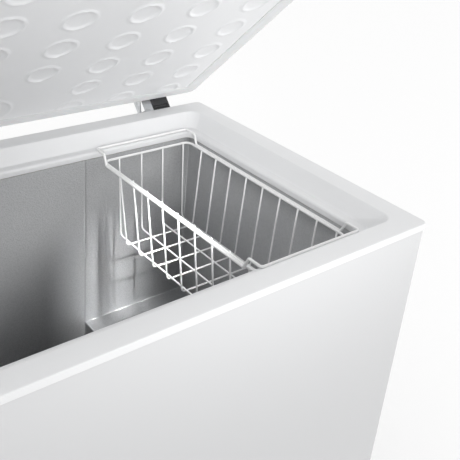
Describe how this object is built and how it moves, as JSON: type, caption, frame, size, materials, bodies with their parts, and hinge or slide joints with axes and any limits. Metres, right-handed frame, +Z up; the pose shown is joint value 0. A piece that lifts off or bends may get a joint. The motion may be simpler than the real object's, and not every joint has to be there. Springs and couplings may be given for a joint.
{
  "type": "chest freezer",
  "caption": "White chest freezer standing with its lid propped open, embossed aluminium liner with a step over the machine room, and a hanging wire basket.",
  "frame": {"origin": "middle of the base of the whole object's box, on the floor, with the lid open as stored", "axes": "+X to the right seen from the front, +Y towards the back and the hinges, +Z up; the lid stands 43.4 degrees open at rest"},
  "size_m": [0.992, 0.6133, 1.2225],
  "materials": {
    "white_steel": "gloss",
    "white_plastic": "satin",
    "lid_plastic": "satin",
    "gasket_grey": "matte",
    "liner_aluminium": "satin",
    "foam": "matte",
    "galvanised": "satin",
    "spring_steel": "polished",
    "black_enamel": "satin",
    "black_plastic": "satin",
    "black_rubber": "matte",
    "copper": "satin",
    "white_wire": "gloss",
    "grey_plastic": "satin",
    "green_lamp": "gloss",
    "red_lamp": "gloss"
  },
  "bodies": {
    "cabinet": {"outer_wrapper": "white_steel", "back_panel": "galvanised", "base_pan": "galvanised", "inner_liner": "liner_aluminium", "foam_insulation": "foam", "top_rim": "white_plastic", "foot_front_left": "black_plastic", "foot_front_right": "black_plastic", "foot_back_left": "black_plastic", "foot_back_right": "black_plastic", "evaporator_coil": "liner_aluminium", "condenser_coil": "copper", "compressor_lower_shell": "black_enamel", "compressor_upper_shell": "black_enamel", "compressor_pump": "spring_steel", "compressor_base_plate": "black_enamel", "compressor_grommet_1": "black_rubber", "compressor_grommet_2": "black_rubber", "compressor_grommet_3": "black_rubber", "compressor_grommet_4": "black_rubber", "start_relay_cover": "black_plastic", "filter_drier": "copper", "capillary_tube": "copper", "suction_tube": "copper", "discharge_tube": "copper", "side_vent_grille": "white_plastic", "machine_room_cover": "galvanised", "cord_gland": "black_rubber", "control_bezel": "grey_plastic", "power_lamp": "green_lamp", "alarm_lamp": "red_lamp", "thermostat_body": "grey_plastic", "drain_tube": "grey_plastic", "hinge_bracket_left": "galvanised", "hinge_bracket_right": "galvanised", "hinge_pin_left": "spring_steel", "hinge_pin_right": "spring_steel", "hinge_sleeve_left": "black_plastic", "hinge_sleeve_right": "black_plastic", "hinge_spring_left": "spring_steel", "hinge_spring_right": "spring_steel"},
    "lid": {"lid_outer_panel": "white_steel", "lid_foam": "foam", "lid_inner_panel": "lid_plastic", "lid_gasket": "gasket_grey", "lid_handle": "white_plastic", "hinge_lid_bracket_left": "galvanised", "hinge_lid_bracket_right": "galvanised", "hinge_cover_left": "black_plastic", "hinge_cover_right": "black_plastic"},
    "basket": {"basket_ring": "white_wire", "basket_hook_frame": "white_wire", "basket_cage": "white_wire"},
    "knob": {"thermostat_knob": "white_plastic"},
    "drain_plug": {"drain_plug": "white_plastic"},
    "drain_cap": {"drain_cap": "white_plastic"}
  },
  "joints": [
    {"name": "lid_hinge", "type": "hinge", "parent": "cabinet", "child": "lid", "pos_m": [0, 0.27627, 0.7751], "axis": [-1, 0, 0], "range_deg": [-43.4, 41.6]},
    {"name": "basket_slide", "type": "slide", "parent": "cabinet", "child": "basket", "axis": [1, 0, 0], "range_m": [-0.6, 0]},
    {"name": "thermostat_turn", "type": "hinge", "parent": "cabinet", "child": "knob", "pos_m": [0.3465, -0.29353, 0.1], "axis": [0, -1, 0], "range_deg": [-280, 0]},
    {"name": "drain_plug_lift", "type": "slide", "parent": "cabinet", "child": "drain_plug", "axis": [0, 0, 1], "range_m": [0, 0.03]},
    {"name": "drain_cap_pull", "type": "slide", "parent": "cabinet", "child": "drain_cap", "axis": [0, -1, 0], "range_m": [0, 0.03]}
  ]
}
